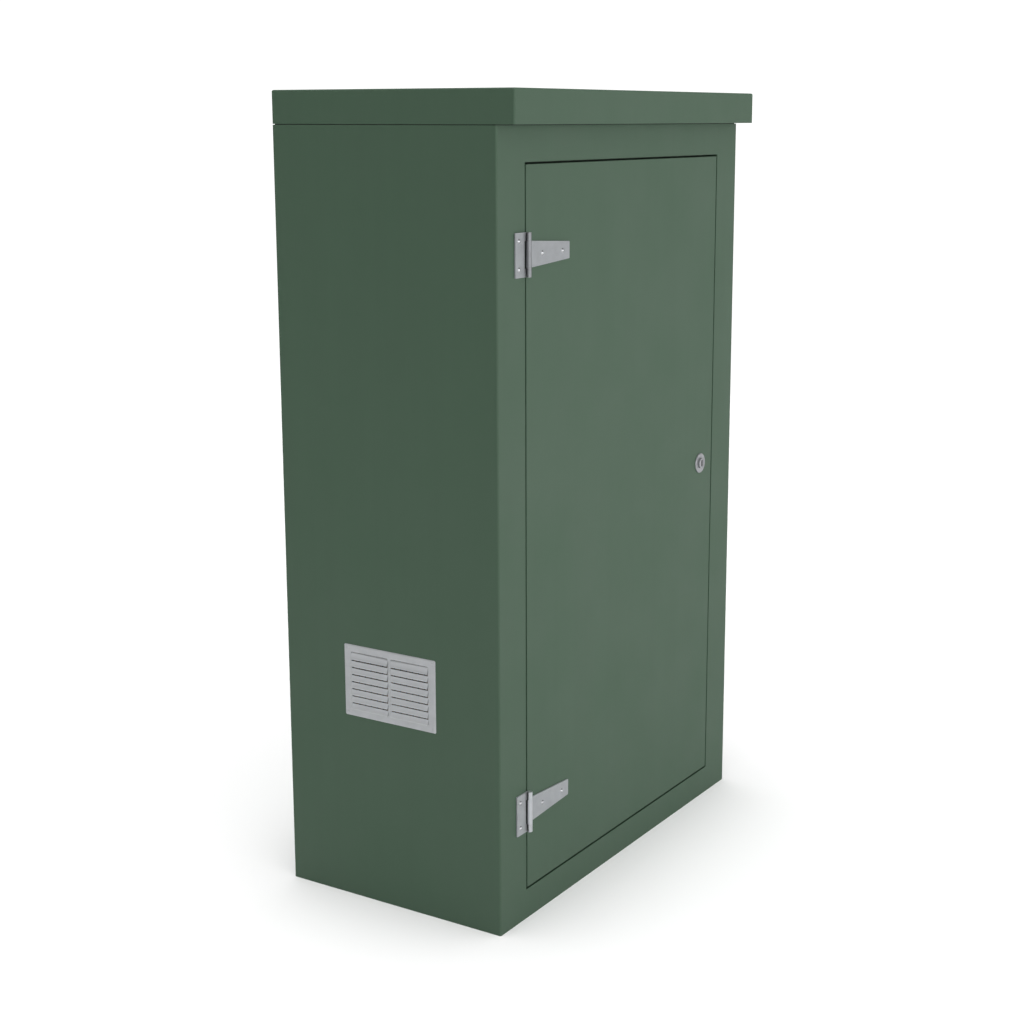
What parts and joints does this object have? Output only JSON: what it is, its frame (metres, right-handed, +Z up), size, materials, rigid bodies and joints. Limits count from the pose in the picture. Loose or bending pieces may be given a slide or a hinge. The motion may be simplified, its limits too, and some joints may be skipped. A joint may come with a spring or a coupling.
{
  "type": "roadside utility cabinet",
  "caption": "Free-standing moulded roadside cabinet with a flat lid over the front, a door hung on strap hinges, a round key lock and a louvred side vent, for electrical equipment.",
  "frame": {"origin": "middle of the four fixing holes in the base, at floor level", "axes": "+X to the right seen from the front, +Y from the front to the back, +Z up"},
  "size_m": [1.0055, 0.574, 1.6635],
  "materials": {
    "green_gelcoat": "satin moulded gelcoat",
    "hinge_steel": "satin stainless",
    "zinc_steel": "zinc plated",
    "lock_metal": "satin chromed",
    "vent_aluminium": "satin anodised",
    "seal_rubber": "matt foam rubber",
    "plywood": "sanded plywood",
    "batten_timber": "sawn timber"
  },
  "bodies": {
    "cabinet": {"housing": "green_gelcoat", "lid": "green_gelcoat", "upper_hinge_leaf": "hinge_steel", "upper_hinge_pin": "hinge_steel", "lower_hinge_leaf": "hinge_steel", "lower_hinge_pin": "hinge_steel", "frame_hinge_bolts": "hinge_steel", "keep_plate": "hinge_steel", "keep_rivets": "hinge_steel", "lid_bolts": "zinc_steel", "lid_washers": "zinc_steel", "lid_nuts": "zinc_steel", "frame_hinge_washers": "zinc_steel", "frame_hinge_nuts": "zinc_steel", "backboard_screws": "zinc_steel", "vent_louvre": "vent_aluminium", "vent_rivets": "vent_aluminium", "insect_screen": "vent_aluminium", "lid_gasket": "seal_rubber", "door_seal": "seal_rubber", "backboard": "plywood", "left_batten": "batten_timber", "right_batten": "batten_timber"},
    "door": {"door": "green_gelcoat", "upper_hinge_strap": "hinge_steel", "lower_hinge_strap": "hinge_steel", "door_hinge_bolts": "hinge_steel", "door_hinge_washers": "zinc_steel", "door_hinge_nuts": "zinc_steel", "lock_body": "lock_metal", "lock_washer": "zinc_steel", "lock_nut": "zinc_steel"},
    "lock": {"lock_plug": "lock_metal", "lock_cam": "zinc_steel", "cam_washer": "zinc_steel", "cam_bolt": "zinc_steel"}
  },
  "joints": [
    {"name": "door_swing", "type": "hinge", "parent": "cabinet", "child": "door", "pos_m": [-0.402, -0.27345, 0.8], "axis": [0, 0, -1], "range_deg": [0, 180]},
    {"name": "lock_turn", "type": "hinge", "parent": "door", "child": "lock", "pos_m": [0.342, -0.267, 0.8265], "axis": [0, -1, 0], "range_deg": [0, 90]}
  ]
}
